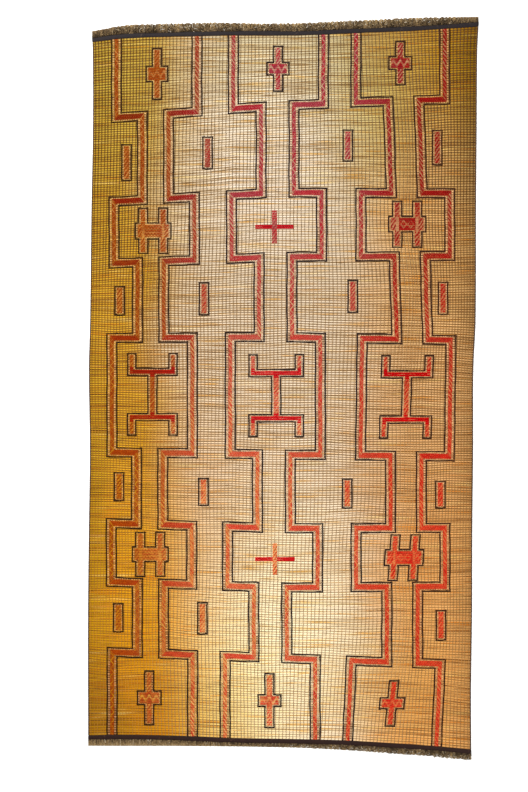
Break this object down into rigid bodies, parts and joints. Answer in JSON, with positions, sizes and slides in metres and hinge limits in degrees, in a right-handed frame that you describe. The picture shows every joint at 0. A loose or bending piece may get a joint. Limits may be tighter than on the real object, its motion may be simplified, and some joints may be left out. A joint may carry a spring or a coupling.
{
  "type": "tuareg reed floor mat",
  "caption": "Long flat reed floor mat held by leather thongs, with laced leather stepped bands and figures, dark leather end bands, edge bindings and short end fringe.",
  "frame": {"origin": "bottom centre of the whole mat's box, on the surface that it lies on", "axes": "+X across the mat to the right, +Y along the mat to the top end, +Z out of the ornamented face"},
  "size_m": [1.882, 3.578, 0.0054],
  "materials": {
    "reed_weave": "straw-coloured reeds held by leather thongs, dry satin",
    "red_leather": "narrow red laces, matt",
    "black_leather": "narrow black laces, matt",
    "band_leather": "dark aubergine leather, soft satin, creased",
    "binding_leather": "thin dark leather binding, matt",
    "fringe_leather": "frayed brown leather, dry"
  },
  "bodies": {
    "root": {"reed_field": "reed_weave", "end_band_top": "band_leather", "end_band_bottom": "band_leather", "side_binding_left": "binding_leather", "side_binding_right": "binding_leather", "fringe_top": "fringe_leather", "fringe_bottom": "fringe_leather"}
  },
  "joints": []
}
